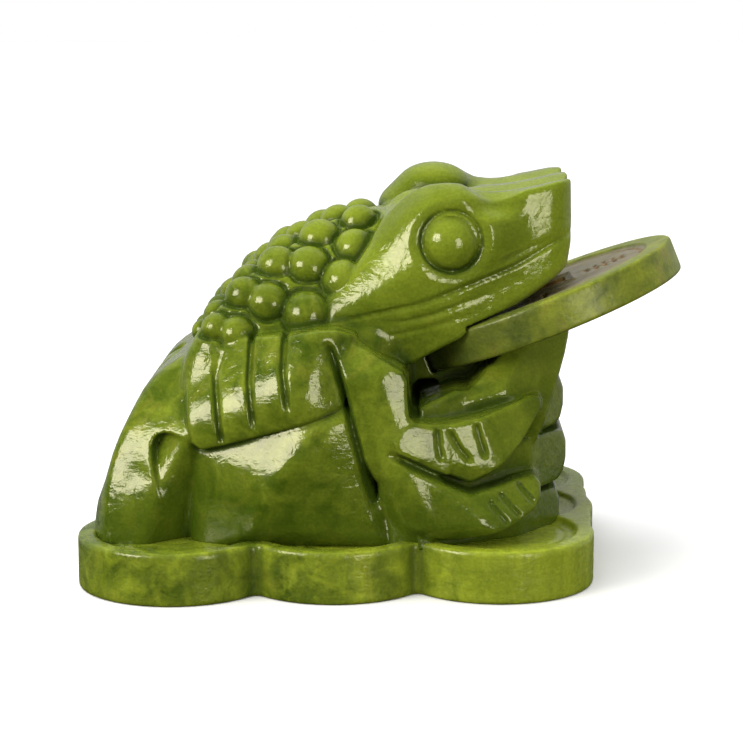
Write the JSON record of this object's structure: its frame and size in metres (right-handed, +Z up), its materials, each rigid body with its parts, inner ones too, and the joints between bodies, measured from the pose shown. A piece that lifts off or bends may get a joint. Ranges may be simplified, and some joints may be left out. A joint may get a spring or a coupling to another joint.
{
  "type": "jade money toad figurine",
  "caption": "Carved green jade toad sitting on a coin-shaped base, holding a loose jade coin in its open mouth; the coin slides out along the slope of the mouth.",
  "frame": {"origin": "centre of the underside of the base", "axes": "+X the way the toad faces, +Y its left side, +Z up"},
  "size_m": [0.1481, 0.104, 0.097],
  "materials": {
    "jade": "polished, mottled olive green, slightly translucent",
    "coin_jade": "polished edge, honed faces with brown-gold tint in the engraving"
  },
  "bodies": {
    "carving": {"base_slab": "jade", "torso": "jade", "head": "jade", "lower_jaw": "jade", "ingot_pile": "jade", "hind_leg": "jade", "front_leg_right": "jade", "front_leg_left": "jade", "haunch_right": "jade", "haunch_left": "jade", "eyes": "jade", "back_warts": "jade"},
    "coin": {"coin": "coin_jade"}
  },
  "joints": [
    {"name": "coin_slide", "type": "slide", "parent": "carving", "child": "coin", "axis": [0.9272, 0, 0.3746], "range_m": [0, 0.06]}
  ]
}
